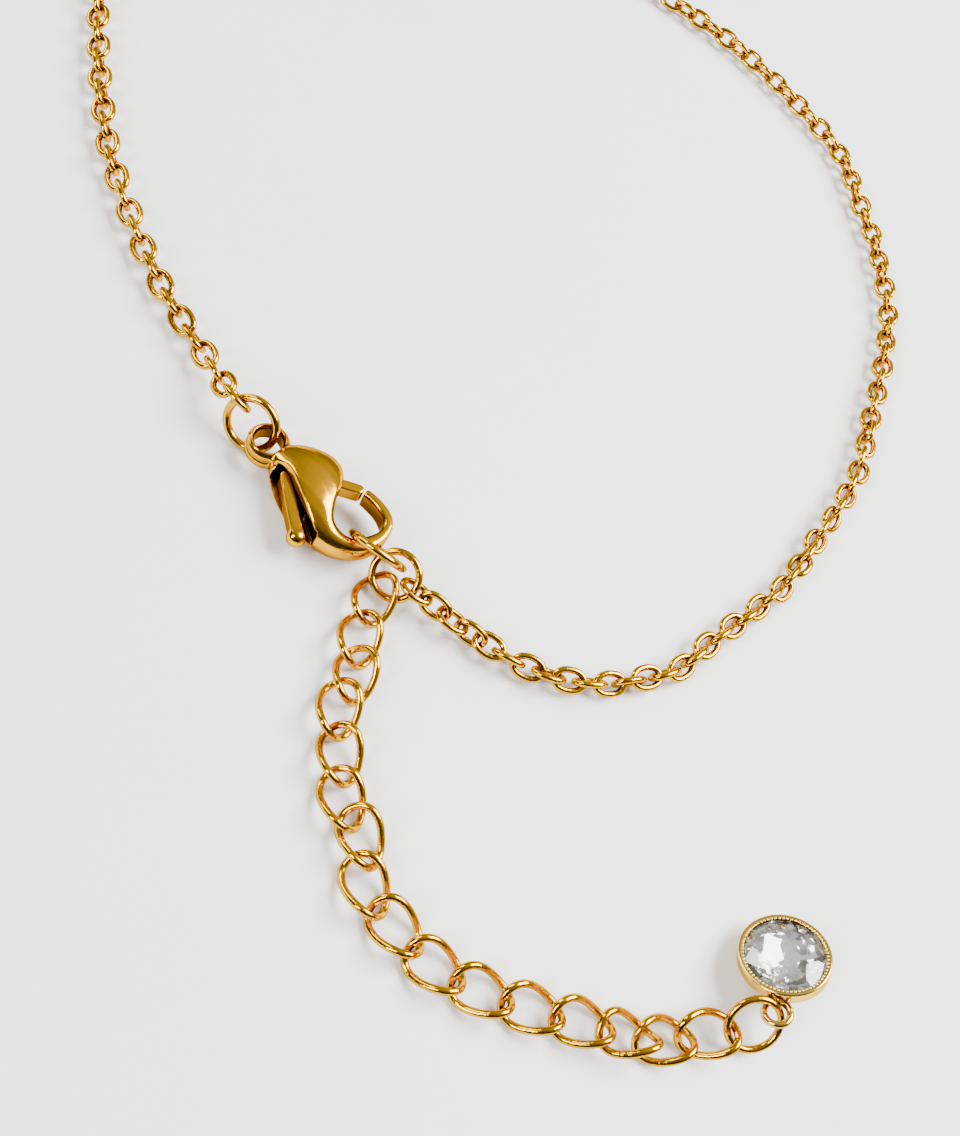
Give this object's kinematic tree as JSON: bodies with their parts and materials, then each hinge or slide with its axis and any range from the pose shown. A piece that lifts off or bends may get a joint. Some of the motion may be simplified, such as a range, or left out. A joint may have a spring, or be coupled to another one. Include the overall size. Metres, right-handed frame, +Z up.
{
  "type": "charm anklet",
  "caption": "Fine cable-chain anklet closed by a lobster clasp, with a twisted-link extender ending in a round bezel-set clear stone.",
  "frame": {"origin": "bottom centre of the bounding box of the whole anklet, on the surface that it lies on", "axes": "+Z up from the surface; +Y from the clasp across the ankle loop, away from the clasp and the extender, the longest extent; +X from the clasp towards the charm"},
  "size_m": [0.088, 0.0926, 0.004],
  "materials": {
    "gold": "polished yellow gold plating",
    "pale_gold": "polished pale gold plating",
    "stone": "clear faceted"
  },
  "bodies": {
    "anklet": {"main_chain": "gold", "chain_end_link_left": "gold", "chain_end_link_right": "gold", "clasp_ring": "gold", "hook_ring": "gold", "joining_ring": "gold", "charm_ring": "gold", "extender_link_01": "gold", "extender_link_02": "gold", "extender_link_03": "gold", "extender_link_04": "gold", "extender_link_05": "gold", "extender_link_06": "gold", "extender_link_07": "gold", "extender_link_08": "gold", "extender_link_09": "gold", "extender_link_10": "gold", "extender_link_11": "gold", "extender_link_12": "gold", "extender_link_13": "gold", "extender_link_14": "gold", "extender_link_15": "gold", "extender_link_16": "gold", "clasp_body": "gold", "charm_setting": "pale_gold", "charm_stone": "stone"},
    "lever": {"clasp_lever": "gold"}
  },
  "joints": [
    {"name": "lever_pivot", "type": "hinge", "parent": "anklet", "child": "lever", "pos_m": [-0.0006, -0.02393, 0.00155], "axis": [0, 0, -1], "range_deg": [0, 20], "stiffness_Nm_per_rad": 0.002, "springref_deg": -11.46}
  ]
}
